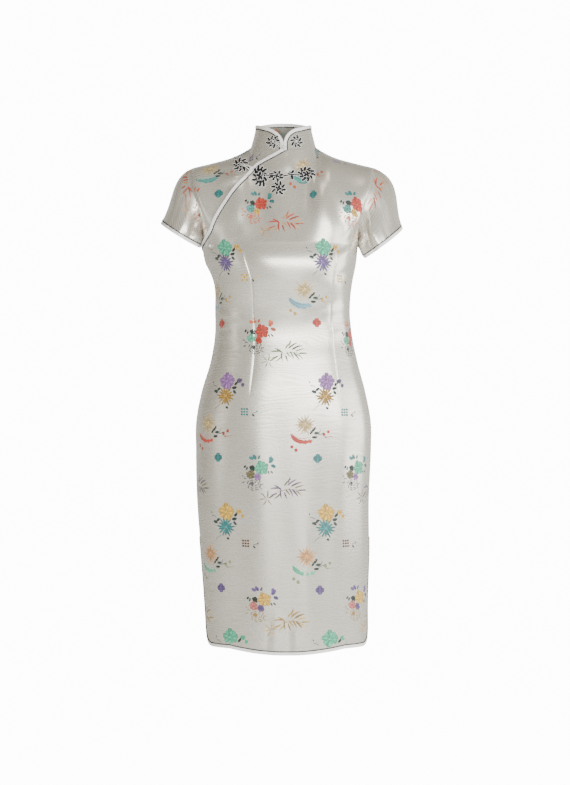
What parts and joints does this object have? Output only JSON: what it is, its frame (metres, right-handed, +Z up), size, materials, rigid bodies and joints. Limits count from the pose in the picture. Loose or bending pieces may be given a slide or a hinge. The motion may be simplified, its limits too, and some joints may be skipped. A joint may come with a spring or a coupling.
{
  "type": "cheongsam dress",
  "caption": "Fitted knee-length cheongsam in white brocade satin, stand collar, curved lapping front with flower frogs, short sleeves, side slits, hollow worn shape",
  "frame": {"origin": "on the body's axis at shoulder height, where the shoulders hold the dress up; the hem is 0.96 m below and the collar top 0.07 m above", "axes": "+Z up, the front faces -Y, the wearer's left is +X"},
  "size_m": [0.4729, 0.2548, 1.0358],
  "materials": {
    "satin": "satin",
    "binding": "satin",
    "piping": "satin",
    "frog": "satin",
    "knot": "satin"
  },
  "bodies": {
    "root": {"front_main": "satin", "front_underlap": "satin", "back": "satin", "sleeve_right": "satin", "sleeve_left": "satin", "collar": "satin", "binding_collar": "binding", "binding_overlap": "binding", "binding_sleeve_right": "binding", "binding_sleeve_left": "binding", "binding_hem_front": "binding", "binding_hem_back": "binding", "piping_collar": "piping", "piping_overlap": "piping", "piping_sleeve_right": "piping", "piping_sleeve_left": "piping", "piping_hem_front": "piping", "piping_hem_back": "piping", "frog_collar_right": "frog", "frog_collar_left": "frog", "frog_shoulder": "frog", "frog_spray_1": "frog", "frog_spray_2": "frog", "frog_spray_3": "frog", "frog_spray_4": "frog", "frog_leaf": "frog", "frog_stem": "frog", "knot_collar": "knot", "knot_shoulder": "knot", "knot_underarm": "knot"}
  },
  "joints": []
}
